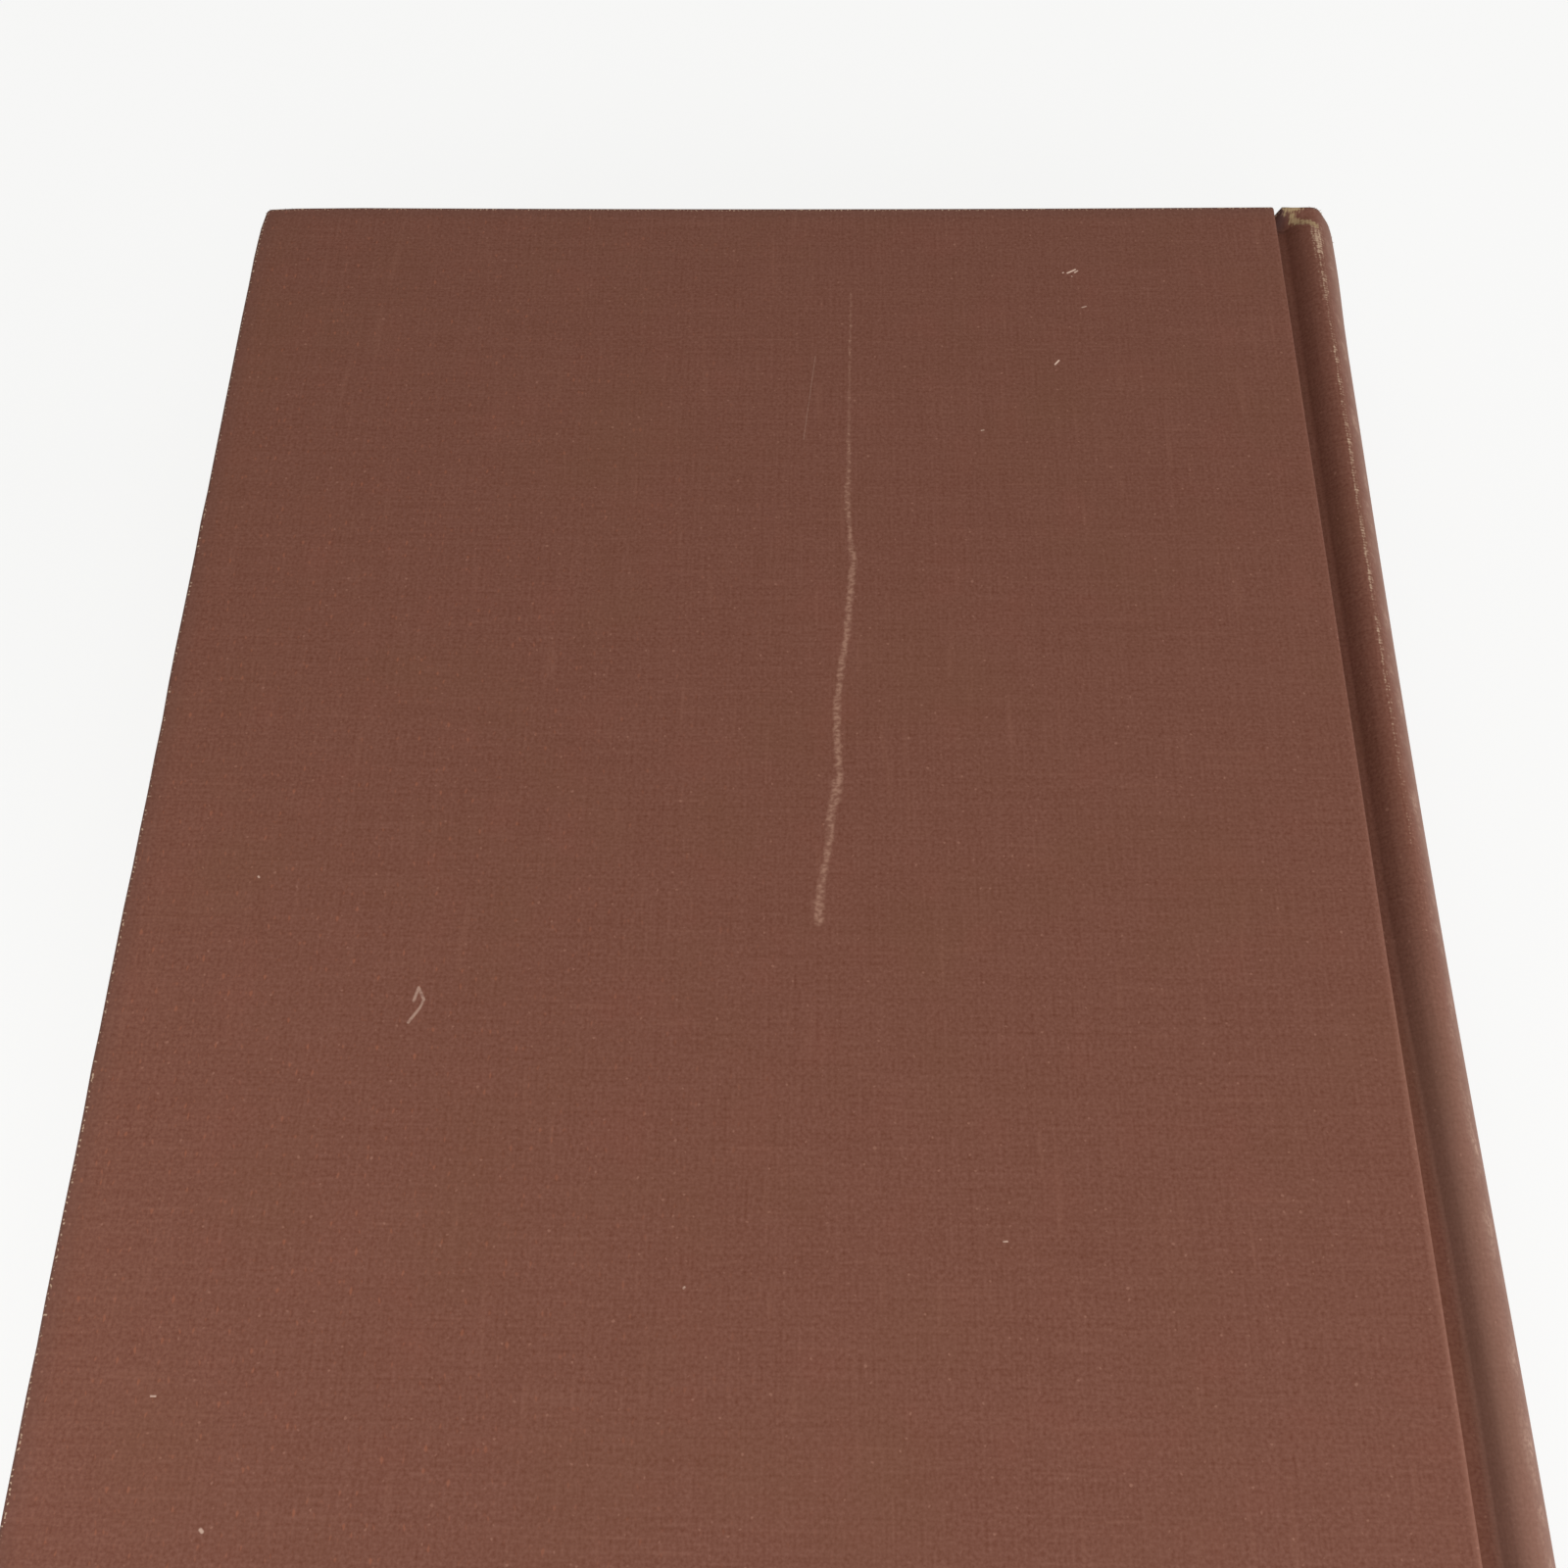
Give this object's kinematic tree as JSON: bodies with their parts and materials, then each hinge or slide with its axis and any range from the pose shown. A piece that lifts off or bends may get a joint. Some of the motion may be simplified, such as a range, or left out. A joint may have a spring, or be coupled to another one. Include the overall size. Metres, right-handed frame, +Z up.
{
  "type": "textbook",
  "caption": "Case-bound textbook in plain woven cloth, with a rounded spine, joint grooves and covers that swing open.",
  "frame": {"origin": "under the middle of the closed book, on the surface it lies on", "axes": "+X towards the spine, +Y towards the head, +Z up out of the back cover"},
  "size_m": [0.1628, 0.236, 0.0326],
  "materials": {
    "cloth": "plain-weave book cloth, reddish brown, matte, worn",
    "board": "grey binder's board",
    "leaves": "uncoated paper, yellowed at the edges",
    "endpaper": "uncoated cream paper",
    "lining_paper": "brown kraft paper",
    "gauze": "open cotton gauze with glue",
    "band": "cotton thread, aged white"
  },
  "bodies": {
    "book_block": {"text_block": "leaves", "front_flyleaf": "endpaper", "back_flyleaf": "endpaper", "mull": "gauze", "spine_lining": "lining_paper", "head_band": "band", "tail_band": "band", "spine_inlay": "board", "spine_cloth": "cloth"},
    "front_cover": {"front_board": "board", "front_cover_cloth": "cloth", "front_pastedown": "endpaper"},
    "back_cover": {"back_board": "board", "back_cover_cloth": "cloth", "back_pastedown": "endpaper"}
  },
  "joints": [
    {"name": "back_cover_hinge", "type": "hinge", "parent": "book_block", "child": "back_cover", "pos_m": [0.07323, 0, 0.0311], "axis": [0, 1, 0], "range_deg": [0, 179.9]},
    {"name": "front_cover_hinge", "type": "hinge", "parent": "book_block", "child": "front_cover", "pos_m": [0.07323, 0, 0.0015], "axis": [0, -1, 0], "range_deg": [0, 179.9]}
  ]
}
